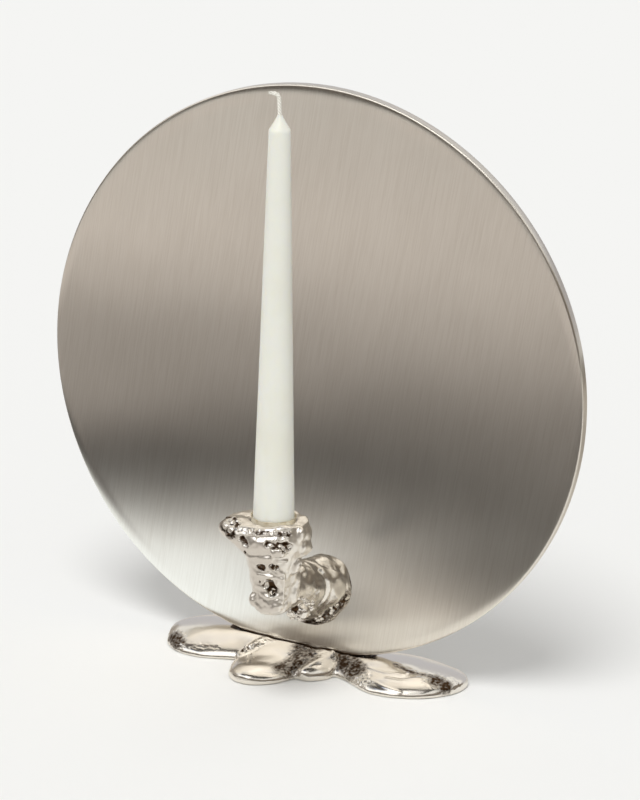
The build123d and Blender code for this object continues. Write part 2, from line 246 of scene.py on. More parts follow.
def turnedSteel(look):
    # machined steel of screws, washers and stud: grey, with fine tool marks
    material, tree = blankMaterial("turnedSteel")
    where = addNode(tree, "ShaderNodeTexCoord").outputs["Object"]
    marks = addNode(tree, "ShaderNodeTexNoise", {"Scale": 1 / (look["lathe"] * mm), "Detail": 2.0}, {"Vector": where})
    relief = addNode(tree, "ShaderNodeBump", {"Strength": 1.0, "Distance": look["depth"] * mm},
                     {"Height": marks.outputs["Fac"]})
    addSurface(tree, {"Base Color": linear(look["steel"]), "Metallic": 1.0, "Roughness": look["rough"]},
               {"Normal": relief.outputs["Normal"]})
    return material


satinMetal = satinNickel(satinNickelLook)
buffedMetal, rubbedMetal, tumbledMetal = [
    castNickel(way + "CastNickel", castNickelLook, castNickelLook[way]) for way in ("buffed", "rubbed", "tumbled")]
wax = dippedWax(dippedWaxLook)
cotton = waxedCotton(cottonLook)
brass = dullBrass(brassLook)
steel = turnedSteel(steelLook)
print("materials made")


def rework(mesh, change):  # a change made in edit form
    bm = bmesh.new()
    bm.from_mesh(mesh)
    change(bm)
    bm.to_mesh(mesh)
    bm.free()


pieces = []  # all that is dressed here, for the cards below


def meshPiece(name, mesh, material, body, node):
    rework(mesh, lambda bm: bmesh.ops.recalc_face_normals(bm, faces=bm.faces))  # every face looks outwards
    mesh.materials.append(material)
    mesh.shade_smooth()
    piece = bpy.data.objects.new(name, mesh)
    scene.collection.objects.link(piece)
    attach(piece, body)
    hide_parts(node)
    pieces.append(piece)
    return piece


def ringMesh(name, *strands, tube=False):  # each strand is closed rings, capped at both ends or joined into a tube
    points, faces = [], []
    for rings in strands:
        turns, first = len(rings[0]), len(points)
        points += [tuple(p) for ring in rings for p in ring]
        starts = [first + i * turns for i in range(len(rings))]
        pairs = list(zip(starts, starts[1:]))
        if tube:
            pairs.append((starts[-1], first))
        for a, b in pairs:
            for j in range(turns):
                k = (j + 1) % turns
                faces.append((a + j, a + k, b + k, b + j))
        if not tube:
            faces.append(tuple(range(first + turns - 1, first - 1, -1)))
            faces.append(tuple(range(starts[-1], starts[-1] + turns)))
    mesh = bpy.data.meshes.new(name)
    mesh.from_pydata(points, [], faces)
    return mesh


axisX, axisY, axisZ = Vector((1, 0, 0)), Vector((0, 1, 0)), Vector((0, 0, 1))


def around(turns, right, up):  # directions round a circle, one for each point of a ring
    angles = [2 * math.pi * j / turns for j in range(turns)]
    return [right * math.cos(a) + up * math.sin(a) for a in angles]


def smoothStep(low, high, value):
    share = np.clip((value - low) / (high - low), 0, 1)
    return share * share * (3 - 2 * share)


def distanceTo(path, place):  # from each point to a line through the path's points
    if len(path) == 1:
        return np.linalg.norm(place - np.array(path[0], float), axis=1)
    nearest = np.full(len(place), np.inf)
    for a, b in zip(path[:-1], path[1:]):
        a, b = np.array(a, float), np.array(b, float)
        along = np.clip((place - a) @ (b - a) / ((b - a) @ (b - a)), 0, 1)
        nearest = np.minimum(nearest, np.linalg.norm(place - a - along[:, None] * (b - a), axis=1))
    return nearest


# reflector plate: a hand-finished disc, its face a little uneven and its edge rolled
plateShape = {
    "rings": 90,
    "backRings": 14,
    "turns": 360,
    "rollWidth": 7.0,  # mm
    "rollDrop": 0.4,
    "edgeRound": 1.0,
    "backEdge": 0.6,
    "waves": [(90.0, 0.5), (40.0, 0.16)],  # size and height
    "flatSpots": 0.8,  # how far the hand-cut outline falls short of a circle
    "flatSpotSize": 1.7,
}


def makePlate(shape):
    low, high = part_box("reflector_plate")
    centre = (low + high) / 2
    radius = (high.x - low.x) / 2 / mm
    half = (high.y - low.y) / 2 / mm
    front = -half + shape["rollDrop"]
    inner = radius - shape["edgeRound"]
    profile = []  # distance from the middle, depth, share of the face's waves
    for share in np.linspace(0.004, 1, shape["rings"]):  # from the middle out
        r = inner * share
        over = max(0.0, r - radius + shape["rollWidth"]) / (shape["rollWidth"] - shape["edgeRound"])
        profile.append((r, -half + shape["rollDrop"] * over ** 2, 1 - over))
    for i in range(1, 6):  # a quarter round at the front
        angle = math.radians(18 * i)
        profile.append((inner + shape["edgeRound"] * math.sin(angle),
                        front + shape["edgeRound"] * (1 - math.cos(angle)), 0))
    for share in (0.1, 0.35, 0.65, 0.9, 1.0):  # across the rim
        deep = front + shape["edgeRound"]
        profile.append((radius, deep + share * (half - shape["backEdge"] - deep), 0))
    profile.append((radius - shape["backEdge"], half, 0))
    for r in np.linspace(radius - 2, 0.6, shape["backRings"]):  # and back to it
        profile.append((r, half, 0))
    rings = []
    for r, depth, waves in profile:
        ring = []
        for out in around(shape["turns"], axisX, axisZ):
            short = shape["flatSpots"] * (0.5 + 0.5 * noise.noise(out * shape["flatSpotSize"] + Vector((3, 4, 0))))
            spot = out * (r - short * (r / radius) ** 6)  # felt near the edge alone
            lift = sum(h * (0.5 + 0.5 * noise.noise(spot / size + Vector((0, 7, 0))))
                       for size, h in shape["waves"])
            ring.append(centre + (spot + Vector((0, depth + waves * lift, 0))) * mm)
        rings.append(ring)
    mesh = ringMesh("satinPlate", rings)
    return meshPiece("satinPlate", mesh, satinMetal, "stand", "reflector_plate")


plate = makePlate(plateShape)
print("plate made:", len(plate.data.vertices), "points")


# castings: the CAD solids and some lobes as one fine skin, then lumps, dents and welts as the mould left them
def addBall(bm, place, radii, turn=(0, 0, 0), fineness=3):
    shift = Matrix.LocRotScale(Vector(place) * mm, Euler([math.radians(a) for a in turn]), Vector(radii) * mm)
    made = bmesh.ops.create_icosphere(bm, subdivisions=fineness, radius=1.0, matrix=shift)
    for vert in made["verts"]:
        vert.co.z = max(vert.co.z, 0.02 * mm)  # clear of the table


crystals = {
    "apart": 1.25,  # times the size of the row, as are the next three
    "scatter": 0.45,
    "small": 0.6,
    "large": 1.15,
    "bright": 0.45,  # share of the row
}
mouldMarks = {  # where a mark is at full strength, as a share of its reach
    "grainCore": 0.55,
    "dentFloor": 0.25,
    "pitFloor": 0.55,
    "pitRagged": 0.5,
    "stainCore": 0.3,
    "speckles": [(1.2, 0.8), (4.5, 0.45)],  # mm and strength of the uneven brown
}


def addBeads(bm, path, size, seed):  # a row of small uneven crystals; returns those that caught the polish
    dice = random.Random(seed)
    scatter = crystals["scatter"]
    bright = []
    for a, b in zip(path[:-1], path[1:]):
        a, b = Vector(a), Vector(b)
        count = max(1, round((b - a).length / (size * crystals["apart"])))
        for i in range(count):
            spot = a.lerp(b, (i + dice.random()) / count)
            spot += Vector([dice.uniform(-scatter, scatter) * size for k in range(3)])
            radii = [size * dice.uniform(crystals["small"], crystals["large"]) for k in range(3)]
            addBall(bm, spot, radii, [dice.uniform(0, 180) for k in range(3)], 1)
            if dice.random() < crystals["bright"]:
                bright.append((spot, sum(radii) / 3))
    return bright


def dropCrumbs(bm):  # keeps the largest shell, so no chip of skin floats beside or inside it
    left, shells = set(bm.verts), []
    while left:
        shell, edge = set(), [left.pop()]
        while edge:
            vert = edge.pop()
            shell.add(vert)
            near = {e.other_vert(vert) for e in vert.link_edges} & left
            left -= near
            edge.extend(near)
        shells.append(shell)
    shells.sort(key=len)
    bmesh.ops.delete(bm, geom=[v for shell in shells[:-1] for v in shell], context="VERTS")


def voxelSkin(bm, size, softening):  # one closed skin round everything in bm
    rough = bpy.data.meshes.new("rough")
    bm.to_mesh(rough)
    bm.free()
    holder = bpy.data.objects.new("rough", rough)
    scene.collection.objects.link(holder)
    skin = holder.modifiers.new("skin", "REMESH")
    skin.mode = "VOXEL"
    skin.voxel_size = size * mm
    soften = holder.modifiers.new("soften", "SMOOTH")
    soften.factor = 0.5
    soften.iterations = softening
    mesh = bpy.data.meshes.new_from_object(holder.evaluated_get(bpy.context.evaluated_depsgraph_get()))
    bpy.data.objects.remove(holder)
    mesh.materials.clear()
    return mesh


def castSkin(name, nodes, shape):
    body = bmesh.new()
    for node in nodes:
        body.from_mesh(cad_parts[node].data)
    for lobe in shape.get("lobes", ()):
        addBall(body, *lobe)
    mesh = voxelSkin(body, shape["skin"], shape["soften"])
    bright = []
    if "beads" in shape:
        body = bmesh.new()
        body.from_mesh(mesh)
        for seed, (path, size) in enumerate(shape["beads"]):
            bright += addBeads(body, path, size, seed)
        mesh = voxelSkin(body, shape["skin"], 1)
    mesh.name = name
    rework(mesh, dropCrumbs)
    sculpt(mesh, shape, bright)
    print(name, "cast:", len(mesh.vertices), "points")
    return mesh


def sculpt(mesh, shape, bright):
    count = len(mesh.vertices)
    place, facing = np.empty(count * 3), np.empty(count * 3)
    mesh.vertices.foreach_get("co", place)
    mesh.vertex_normals.foreach_get("vector", facing)
    place, facing = place.reshape(-1, 3) / mm, facing.reshape(-1, 3)
    rise, patinaAndShade = np.zeros(count), np.zeros(count)
    for size, height in shape["lumps"]:
        rise += height * np.array([noise.noise(Vector(p) / size) for p in place])
    for size, height, path, reach in shape.get("grain", ()):  # roughness near a line
        share = smoothStep(reach, reach * mouldMarks["grainCore"], distanceTo(path, place))
        for i in np.nonzero(share)[0]:
            rise[i] += share[i] * height * noise.noise(Vector(place[i]) / size)
    for path, width, height in shape.get("welts", ()):
        rise += height * smoothStep(width, 0, distanceTo(path, place))
    for path, radius, depth in shape.get("dents", ()):
        rise -= depth * smoothStep(radius, radius * mouldMarks["dentFloor"], distanceTo(path, place))
    for path, radius, depth in shape.get("pits", ()):  # small, steep and dark inside, as oxide with painted shade
        away = distanceTo(path, place)
        for i in np.nonzero(away < radius * 1.6)[0]:  # ragged outline
            away[i] += radius * mouldMarks["pitRagged"] * noise.noise(Vector(place[i]) / (radius * 0.7))
        share = smoothStep(radius, radius * mouldMarks["pitFloor"], away)
        rise -= depth * share
        patinaAndShade = np.maximum(patinaAndShade, share)
    for path, reach, amount in shape.get("stainsAndShade", ()):  # brown where the casting was never polished; some lines are painted shade in creases, on a lobe's shaded side and where the arm meets the plate, one a painted reflection
        share = smoothStep(reach, reach * mouldMarks["stainCore"], distanceTo(path, place))
        for i in np.nonzero(share)[0]:
            speckle = sum(a * noise.noise(Vector(place[i]) / size) for size, a in mouldMarks["speckles"])
            level = 0.35 + 0.4 * amount + speckle * (1.25 - 0.6 * amount)  # strong ones are more even
            patinaAndShade[i] = max(patinaAndShade[i], amount * min(1.0, share[i] * level))
    for spot, radius in bright:  # crystals that shine in the dark
        patinaAndShade *= smoothStep(radius * 0.95, radius * 1.35, np.linalg.norm(place - np.array(spot), axis=1))
    for reach, amount in shape.get("joints", ()):  # painted shade: a dark line where the plate is let in, for the shadow in the slot, with the dark flux of the joint
        patinaAndShade = np.maximum(patinaAndShade, amount * smoothStep(reach, reach * 0.7, plateGap(place)))
    free = shape["free"](place)  # 0 where the piece meets another
    still = smoothStep(shape["floor"], shape["floor"] + 1.2, place[:, 2]) if "floor" in shape else 1.0
    place = place + facing * np.where(rise > 0, rise * free, rise * still)[:, None]
    place = np.clip(place, np.array(cadBox[0]) / mm, np.array(cadBox[1]) / mm)
    if "wall" in shape:
        place[:, 1] = np.minimum(place[:, 1], shape["wall"])
    mesh.vertices.foreach_set("co", (place * mm).ravel())
    deep = mesh.attributes.new("patinaAndShade", "FLOAT", "POINT")
    deep.data.foreach_set("value", patinaAndShade.astype(np.float32))
    mesh.update()


def plateGap(place):  # distance to the plate, mm
    low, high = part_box("reflector_plate")
    radius, middle = (high.x - low.x) / 2 / mm, (high.z + low.z) / 2 / mm
    half = (high.y - low.y) / 2 / mm
    outside = np.hypot(place[:, 0], place[:, 2] - middle) - radius
    return np.maximum(np.abs(place[:, 1]) - half, outside)


def footFree(place):  # still under the foot and in the plate's slot
    return smoothStep(0.3, 2.0, plateGap(place)) * smoothStep(0.1, 1.2, place[:, 2])


leftTip = [(-73, -19, 5), (-66.5, -24.8, 4.2)]
rightCrease = [(58, -5, 9.8), (66, -7.5, 9.3), (74, -8.6, 8.7), (81, -6.5, 8.3)]
footShape = {
    "skin": 0.6,
    "soften": 26,
    "free": footFree,
    "floor": 0.05,
    # painted shade along the plate's slot, with dark flux
    "joints": [(1.1, 1.0)],
    "lobes": [
        ((6.5, -14, 0), (11.5, 17.5, 9.3)),
        ((11, -8, 0), (14, 10, 9.6)),
    ],
    "lumps": [(24.0, 0.35), (9.0, 0.16)],
    "beads": [
        ([(-29.5, -22.8, 6.2), (-26.8, -19.5, 8.0), (-24.3, -16.6, 8.9), (-22, -12.0, 9.5), (-19, -7, 9.4)], 1.0),
        ([(-28, -23.4, 6.6), (-25.2, -20.2, 8.0), (-22.8, -16.0, 8.8)], 0.9),
    ],
    "grain": [
        (1.3, 0.5, leftTip, 7.0),
        (1.3, 0.5, [(2, -8, 8), (7, -18, 8), (4, -29, 6)], 10.0),
        (1.5, 0.2, [(12, -6, 9), (15, -12, 8)], 6.0),
        (1.3, 0.45, [(30, -8, 8), (38, -16, 6), (46, -22, 5)], 9.0),
        (1.4, 0.3, [(-66, -25, 4.3), (-60.5, -26, 4.6), (-55.9, -25, 5.1), (-50.4, -23.6, 5.6), (-44, -22, 5.8)], 3.2),
        (1.3, 0.4, [(-29.5, -22.8, 6.2), (-26.8, -19.5, 8.0), (-24.3, -16.6, 8.9), (-21, -10.5, 9.5)], 4.5),
        (1.4, 0.4, [(82, -9, 7), (92, -6, 5)], 8.0),
        (1.5, 0.3, rightCrease, 3.2),
        (7.0, 0.3, [(-70, -26, 1), (-50, -30, 1), (-20, -46, 1), (0, -44, 1), (30, -22, 1), (60, -29, 1),
                    (92, -12, 1)], 4.0),
    ],
    "welts": [
        ([(20, -5, 10), (25, -11, 8.5), (26.5, -19, 5)], 2.2, 1.1),
        ([(58.9, -17.8, 7), (67.7, -16.7, 7.1), (74.3, -12.1, 7.5)], 1.3, 0.3),
        ([(50.6, -21.8, 5.5), (61.4, -25, 4.6), (71.1, -24.8, 3.6)], 1.3, 0.35),
        ([(46, -12, 8), (56, -14, 8), (66, -12, 8.5)], 1.4, 0.25),
        ([(-26, -20, 8), (-21, -13, 9), (-16, -7, 9.6)], 1.6, 0.5),
    ],
    "dents": [
        ([(-8, -25, 8.5), (-14, -28, 8)], 14.0, 1.3),
        ([(52, -12, 9), (66, -10, 9)], 10.0, 0.5),
    ],
    "pits": [
        ([(-30.5, -23.5, 5.2), (-28.6, -22, 6.8)], 2.6, 1.8),
        ([(-25.5, -20, 8)], 1.6, 0.8),
    ],
    "stainsAndShade": [
        ([(3, -7, 9), (7, -14, 8), (6, -22, 7), (3, -30, 6)], 11.0, 1.0),
        ([(12, -5, 9)], 5.0, 0.8),
        ([(29, -7, 8), (33, -11, 7), (38, -15, 6.5)], 11.0, 1.05),
        (leftTip, 6.2, 1.05),
        ([(-65, -25, 4.3), (-60.5, -26, 4.6), (-55.9, -25, 5.1), (-50.4, -23.6, 5.6), (-45, -22, 5.8)], 1.8, 0.8),
        # painted shade: the plate's shadow in the right crease
        (rightCrease, 2.2, 0.9),
        ([(85, -8.5, 6.9), (89.5, -9, 5.6)], 7.5, 1.1),
    ],
}
petalPieces = {"left_petal": "leftPetalCast", "front_petal": "frontPetalCast", "fold_petal": "foldPetalCast",
               "right_petal": "rightPetalCast", "rear_petal": "rearPetalCast"}
petalSeams = {
    "leanFrom": 22.5,  # mm in front of the plate, where the left joint starts to lean in
    "merge": 0.002,  # points this near become one
}


def capCuts(bm, cuts, merge):  # closes each upright cut by itself
    rim = [e for e in bm.edges if e.is_boundary]
    for origin, across in cuts:
        flat = [e for e in rim if all(abs((v.co - Vector(origin)).dot(Vector(across))) < 2 * merge for v in e.verts)]
        corners = [v for e in flat for v in e.verts]
        ends = [v for v in corners if corners.count(v) == 1]
        while len(ends) > 1:  # where two cuts meet, an upright edge joins top and bottom
            end = ends.pop()
            mate = min(ends, key=lambda v: (v.co - end.co).xy.length)
            ends.remove(mate)
            flat.append(bm.edges.get((end, mate)) or bm.edges.new((end, mate)))
        if flat:
            bmesh.ops.triangle_fill(bm, use_beauty=True, use_dissolve=False, edges=flat, normal=across)


def makePetals(shape, seams):  # one skin, cut at the brazed joints so that the petals meet exactly
    mesh = castSkin("foot", list(petalPieces), shape)
    merge = seams["merge"] * mm
    leftX, foldX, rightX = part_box("front_petal")[0].x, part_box("fold_petal")[0].x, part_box("right_petal")[0].x
    rearY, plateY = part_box("rear_petal")[0].y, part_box("reflector_plate")[0].y
    corner = Vector((leftX, -seams["leanFrom"] * mm, 0))
    lean = Vector((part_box("left_petal")[1].x, plateY, 0)) - corner
    aside = Vector((-lean.y, lean.x, 0)).normalized()
    whole = bmesh.new()
    whole.from_mesh(mesh)
    cuts = [((leftX, 0, 0), (1, 0, 0)), ((foldX, 0, 0), (1, 0, 0)), ((rightX, 0, 0), (1, 0, 0)),
            ((0, rearY, 0), (0, 1, 0)), ((0, plateY, 0), (0, 1, 0)), (corner, aside)]
    for origin, across in cuts:
        parts = whole.verts[:] + whole.edges[:] + whole.faces[:]
        bmesh.ops.bisect_plane(whole, geom=parts, plane_co=origin, plane_no=across, dist=merge)
    bmesh.ops.remove_doubles(whole, verts=whole.verts, dist=merge)

    def petalAt(spot):
        if spot.x < leftX or (spot.y < plateY and (spot - corner).dot(aside) > 0):
            return "left_petal"
        if spot.x > rightX:
            return "right_petal"
        if spot.y > rearY:
            return "rear_petal"
        return "fold_petal" if spot.x > foldX else "front_petal"

    whole.to_mesh(mesh)
    whole.free()
    for node, name in petalPieces.items():
        part = bmesh.new()
        part.from_mesh(mesh)
        others = [f for f in part.faces if petalAt(f.calc_center_median()) != node]
        bmesh.ops.delete(part, geom=others, context="FACES")
        dropCrumbs(part)
        capCuts(part, cuts, merge)
        petal = bpy.data.meshes.new(name)
        part.to_mesh(petal)
        part.free()
        meshPiece(name, petal, buffedMetal, "stand", node)
        print(name, "cut:", len(petal.vertices), "points")


makePetals(footShape, petalSeams)


def armFree(place):  # still where the boss lies on the plate
    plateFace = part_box("reflector_plate")[0].y / mm
    return smoothStep(0.3, 1.5, plateFace - place[:, 1])


armShape = {
    "skin": 0.5,
    "soften": 24,
    "free": armFree,
    "wall": -3.2,
    "lobes": [
        ((14.8, -15.5, 52.5), (15.4, 14.5, 15.6), (8, 0, 14)),  # pillow by the plate
        ((17.0, -37.0, 57.0), (10.2, 9.6, 11.0), (0, 14, 20)),  # egg-shaped middle lobe
        ((12.0, -30.0, 64.0), (9.0, 9.0, 6.0)),
        ((21.5, -50.0, 50.0), (6.0, 5.2, 5.0)),  # hooked nodule under the cup
        ((19.0, -47.0, 70.5), (5.0, 5.5, 4.0)),
    ],
    "beads": [
        ([(30.0, -6.0, 49.5), (28.4, -6.2, 44.6), (26.4, -7.5, 40.5), (23, -7.5, 35), (18, -7, 29),
          (12, -6.5, 25)], 1.5),
        ([(28.4, -10.5, 46.5), (25.8, -12, 41.5), (21, -12, 35.0), (16, -11.5, 30.5), (9, -11, 28)], 1.5),
        ([(25.2, -16.2, 42.6), (20.9, -17.6, 38.3), (14.7, -16, 33)], 1.7),
        ([(24.4, -57, 60), (26, -53, 58), (27, -48, 54.5), (26.4, -45.5, 50.5), (23.4, -46, 46.5), (21, -49, 45),
          (18, -52, 46.5), (17.5, -54.5, 50)], 1.9),
        ([(20.5, -55, 52), (17.5, -53, 48.5), (19, -49, 46.8)], 1.6),
    ],
    "lumps": [(9.0, 1.2), (4.0, 0.25), (2.2, 0.06)],
    "grain": [(1.6, 0.3, [(28, -8, 44), (20, -12, 34), (10, -8, 26)], 8.0), (2.0, 0.3, [(22, -50, 50)], 9.0)],
    "welts": [([(16, -33, 69.5), (22, -36, 66), (25.5, -40, 60)], 2.0, 0.6)],
    "dents": [
        ([(22, -28.5, 66), (26.5, -27.5, 59), (26.3, -28, 52), (22, -28.5, 46)], 3.2, 1.2),
        ([(19, -21, 67), (27, -11, 62)], 4.0, 0.8),
    ],
    "pits": [([(21.5, -54.5, 52.0)], 2.6, 1.8), ([(23, -53.5, 46.5)], 2.3, 1.4)],
    "stainsAndShade": [
        ([(28, -9, 44), (22, -13, 37), (14, -12, 30), (8, -9, 27)], 8.0, 1.1),
        # painted shade: dark line where the boss meets the plate
        ([(30.4, -3.6, 56), (28.6, -3.6, 46), (24.5, -3.6, 38), (18, -3.6, 30), (10, -3.6, 25.5)], 2.6, 1.5),
        ([(22, -49, 51), (17, -50, 48)], 6.0, 0.8),
        # painted shade on the egg lobe's lower right
        ([(24, -33, 49), (22, -28, 44)], 6.0, 0.7),
        ([(25, -43, 61), (26, -37, 56)], 6.0, 0.5),
        # painted shade in the crease between pillow and middle lobe
        ([(23, -28.5, 65), (26.5, -27.5, 58), (26, -28, 51)], 1.8, 0.7),
        # painted reflection: the dark diagonal band over the pillow
        ([(20, -22, 66), (27, -11, 62)], 3.4, 0.45),
    ],
}
armMesh = castSkin("armCast", ["arm_branch"], armShape)
arm = meshPiece("armCast", armMesh, rubbedMetal, "stand", "arm_branch")
arm.visible_glossy = False  # the satin plate shows no image of arm, cup and candle in the photograph

candleLow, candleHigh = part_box("candle_wax")
candleAxis = (candleLow + candleHigh) / 2 / mm
sleeveLow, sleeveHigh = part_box("socket_sleeve")
sleeveRadius = (sleeveHigh.x - sleeveLow.x) / 2 / mm


def cupFree(place):  # still in the socket
    reach = np.hypot(place[:, 0] - candleAxis.x, place[:, 1] - candleAxis.y)
    bore = smoothStep(0.5, 1.6, reach - sleeveRadius)
    return np.where(place[:, 2] < sleeveLow.z / mm - 1.5, 1.0, bore)


cupShape = {
    "skin": 0.4,
    "soften": 34,
    "free": cupFree,
    "lobes": [
        ((-5.0, -79.5, 101.4), (6.2, 6.4, 5.0)),  # blunt lip on the left
        ((22, -80.0, 94.5), (6.5, 4.5, 5.0)),
        ((28.2, -67.5, 82.5), (2.6, 4.0, 5.0), (0, 12, 0)),  # bean on the right
        ((25.0, -61.5, 68.5), (2.4, 3.4, 9.5), (-12, 0, 0)),  # leaf-shaped fold beside the arm
        ((7.6, -74.8, 62.6), (3.0, 3.0, 4.4)),  # bud low on the left
        ((31.0, -68.5, 101.5), (2.4, 4.6, 4.6), (0, 0, 25)),  # lug of the rim
        ((31.5, -65.0, 93.5), (3.0, 4.6, 4.4)),
        ((17.0, -73.5, 61.5), (6.5, 4.5, 6.0)),  # round bottom
    ],
    "beads": [
        ([(-8, -75, 104.4), (-6.4, -79, 104.8), (-4.4, -83.6, 103.6), (0, -86, 103.2)], 2.1),
        ([(-9, -76, 105.2), (-5, -79, 105.6), (-1, -82.5, 105.7), (2.5, -85, 105.4)], 1.6),
        ([(-6, -75, 105.4), (-2, -78.5, 105.7), (2, -82, 105.7)], 1.3),
        ([(-9.4, -77, 102), (-7.4, -82, 101.2), (-3, -86, 100.8), (1.8, -88, 100.8)], 2.0),
        ([(22.5, -82, 101.4), (26, -80, 101), (29, -77, 100.8)], 1.2),
        ([(2, -86.4, 104.4), (5.6, -85.6, 105), (9.9, -85.6, 104.4), (15, -84, 104.2), (19.9, -82.3, 103.8),
          (24, -79.6, 103.6), (28.3, -76, 103.2)], 1.4),
        ([(7.5, -87.6, 103), (10.1, -86.6, 103.4), (14.2, -85.4, 103), (18, -83.8, 103), (21.7, -82, 103),
          (25.1, -79.4, 103.2), (28.1, -76, 103.4)], 1.1),
        ([(20.5, -85, 98.6), (23, -84, 98.2), (26, -82.2, 97.6), (29.6, -78.6, 97.2)], 1.2),
        ([(24.6, -82.6, 95.8), (28.4, -79.6, 95.6)], 1.1),
        ([(16.8, -79.2, 73.6), (17.8, -78.8, 72.2)], 1.7),
        ([(18.8, -78.2, 71.0), (20.4, -77.2, 69.0)], 1.1),
        ([(14.0, -80.4, 84.0), (15.0, -80.2, 83.4)], 1.2),
        ([(20.2, -79.0, 84.4), (21.0, -78.8, 83.8)], 1.1),
    ],
    "lumps": [(9.0, 1.0), (4.0, 0.38), (1.8, 0.12)],
    "grain": [
        (1.4, 0.2, [(12, -76, 104), (4, -70, 105), (22, -74, 105)], 7.0),
        (2.6, 0.55, [(16, -82, 92), (17, -79, 80), (17, -77, 66)], 14.0),
    ],
    "welts": [
        ([(4, -85, 92.5), (8.9, -83.2, 90), (14, -83.4, 90.6), (20.5, -82.9, 90.2), (27, -76.5, 88)], 1.6, 1.2),
        ([(12, -79.5, 78.6), (16.1, -79.9, 79), (20, -78.6, 78.4), (23.8, -76, 77.4)], 1.5, 1.0),
        ([(22, -78, 83), (24.6, -75.5, 80), (25, -74.4, 72), (23.4, -73.6, 64)], 1.6, 0.9),
        ([(28.2, -72, 90), (27, -70, 86), (26.5, -71, 80)], 1.6, 0.6),
        ([(15.5, -78.6, 66.6), (19, -77, 66), (22, -75.4, 67)], 1.5, 0.7),
    ],
    "dents": [([(14, -80.6, 94), (22, -80.5, 94)], 7.0, 0.8), ([(12, -79.6, 81), (20, -79, 82)], 5.0, 0.5)],
    "pits": [
        ([(20, -85, 98.6), (23.6, -83.6, 98)], 2.2, 1.5),
        ([(25.6, -82.2, 97.8), (29.4, -78.8, 97.2)], 2.8, 1.7),
        ([(27, -81, 95.6)], 2.0, 1.2),
        ([(6.8, -88.6, 100), (8.0, -88.0, 98)], 2.6, 1.7),
        ([(1.8, -88.8, 100.6)], 1.0, 0.8),
        ([(6.6, -84.6, 92)], 1.0, 0.7),
        ([(14.4, -80.4, 83.6)], 3.0, 1.9),
        ([(20.5, -79, 84.2)], 2.9, 1.8),
        ([(17.4, -78.8, 73.4), (19.6, -77.4, 70)], 4.0, 2.2),
        ([(12.4, -79.4, 74.4)], 0.9, 0.6),
        ([(14.0, -79.2, 72.2)], 0.8, 0.6),
        ([(30.2, -67.8, 84)], 1.2, 1.2),
        ([(4.4, -75, 66.5)], 1.0, 0.8),
    ],
    "stainsAndShade": [
        ([(-9, -76, 103.5), (-6, -82, 102.5), (0, -87, 102)], 4.6, 1.25),
        ([(-8, -76, 105.4), (-4.5, -79, 105.8), (1, -84, 105.7)], 3.6, 1.2),
        ([(6.8, -88.2, 100), (8.0, -87.6, 98)], 2.4, 1.4),
        ([(4, -86.5, 104), (14, -84.5, 104), (24, -80, 103.6), (28, -76.5, 103)], 2.2, 1.0),
    ],
}
cupMesh = castSkin("cupCast", ["candle_cup"], cupShape)
cup = meshPiece("cupCast", cupMesh, tumbledMetal, "stand", "candle_cup")
cup.visible_glossy = False

# sleeve: thin brass tube round the candle's foot, its lip cut by hand and turned out a little
sleeveShape = {
    "wall": 0.45,  # mm
    "flare": 0.5,
    "flareHeight": 2.2,
    "bend": (0.3, 0.8),  # this share of the flare, so far below the lip
    "ragged": 0.5,
    "turns": 96,
}


def makeSleeve(shape):
    low, high, wall = sleeveLow.z / mm, sleeveHigh.z / mm, shape["wall"]
    share, below = shape["bend"]
    outer = [(sleeveRadius, low), (sleeveRadius, high - shape["flareHeight"]),
             (sleeveRadius + share * shape["flare"], high - below), (sleeveRadius + shape["flare"], high)]
    inner = [(r - wall, z) for r, z in reversed(outer)]
    rings = []
    for r, z in outer + inner:
        ring = []
        for out in around(shape["turns"], axisX, axisY):
            drop = shape["ragged"] * (0.5 + 0.5 * noise.noise(out * 2.5)) if z == high else 0.0
            ring.append((Vector((candleAxis.x, candleAxis.y, z - drop)) + out * r) * mm)
        rings.append(ring)
    mesh = ringMesh("brassSleeve", rings, tube=True)
    sleeve = meshPiece("brassSleeve", mesh, brass, "stand", "socket_sleeve")
    sleeve.visible_glossy = False


makeSleeve(sleeveShape)
print("sleeve made")

# candle: a dipped taper with a soft pointed tip
candleShape = {
    "turns": 96,
    "rings": 150,
    "footRadius": 11.0,  # mm
    "footEdge": 0.6,
    "topRadius": 5.7,
    "cone": 7.6,
    "coneRings": 16,
    "tipRadius": 1.35,
    "dip": 0.14,  # depth of the dips
    "dipLength": 22.0,
}


def makeCandle(shape):
    foot, top = candleLow.z / mm, candleHigh.z / mm
    lip = sleeveHigh.z / mm
    shoulder = top - shape["cone"]
    wide, edge = shape["footRadius"], shape["footEdge"]
    profile = [(1.0, foot), (wide - edge, foot), (wide, foot + edge)]
    for z in np.linspace(foot + 1.6, shoulder, shape["rings"]):
        fall = max(0.0, (z - lip) / (shoulder - lip))
        profile.append((wide + (shape["topRadius"] - wide) * fall, z))
    for share in np.linspace(0, 1, shape["coneRings"])[1:]:
        slope = (1 - share) ** 1.35 * (1 + 0.35 * share)  # full at the shoulder, drawn in to the wick
        r = shape["tipRadius"] + (shape["topRadius"] - shape["tipRadius"]) * slope
        profile.append((r, shoulder + share * shape["cone"]))
    rings = []
    for r, z in profile:
        ring = []
        for out in around(shape["turns"], axisX, axisY):
            wave = noise.noise(out * 0.8 + Vector((0, 0, z / shape["dipLength"])))
            dip = shape["dip"] * (0.5 + 0.5 * wave) * min(1.0, r / 4)
            ring.append((Vector((candleAxis.x, candleAxis.y, z)) + out * (r - dip)) * mm)
        rings.append(ring)
    candle = meshPiece("waxTaper", ringMesh("waxTaper", rings), wax, "candle", "candle_wax")
    candle.visible_glossy = False


makeCandle(candleShape)
print("candle made")

